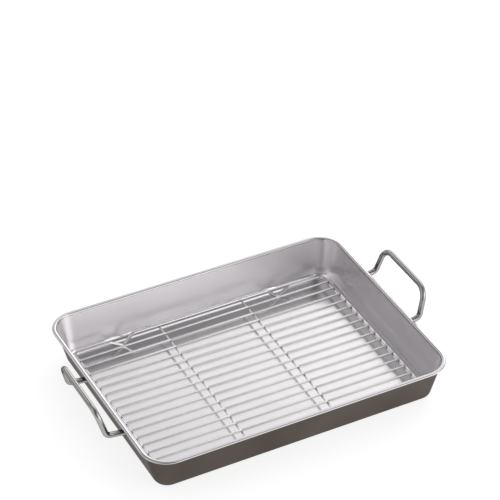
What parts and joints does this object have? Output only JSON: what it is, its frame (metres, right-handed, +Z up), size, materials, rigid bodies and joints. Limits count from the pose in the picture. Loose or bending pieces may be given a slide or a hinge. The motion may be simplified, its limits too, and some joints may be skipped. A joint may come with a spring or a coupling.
{
  "type": "roasting pan with rack",
  "caption": "Shallow rectangular steel roasting pan with sloping walls, a rolled rim and fixed bent-rod handles, holding a loose wire rack on bent feet that lifts straight out.",
  "frame": {"origin": "middle of the pan's flat underside, on the surface that it stands on", "axes": "+X along the pan's long side towards the right handle, +Y across the pan towards the back, +Z up out of the pan"},
  "size_m": [0.46, 0.31, 0.0813],
  "materials": {
    "pan_steel": "satin drawn stainless sheet",
    "handle_steel": "polished stainless rod",
    "rack_steel": "bright drawn stainless wire"
  },
  "bodies": {
    "pan": {"pan_shell": "pan_steel", "handle_right": "handle_steel", "handle_left": "handle_steel"},
    "rack": {"rack_frame": "rack_steel", "rack_cross_wire_1": "rack_steel", "rack_cross_wire_2": "rack_steel", "rack_wire_01": "rack_steel", "rack_wire_02": "rack_steel", "rack_wire_03": "rack_steel", "rack_wire_04": "rack_steel", "rack_wire_05": "rack_steel", "rack_wire_06": "rack_steel", "rack_wire_07": "rack_steel", "rack_wire_08": "rack_steel", "rack_wire_09": "rack_steel", "rack_wire_10": "rack_steel", "rack_wire_11": "rack_steel", "rack_wire_12": "rack_steel", "rack_wire_13": "rack_steel", "rack_wire_14": "rack_steel", "rack_wire_15": "rack_steel"}
  },
  "joints": [
    {"name": "rack_lift", "type": "slide", "parent": "pan", "child": "rack", "axis": [0, 0, 1], "range_m": [0, 0.1]}
  ]
}
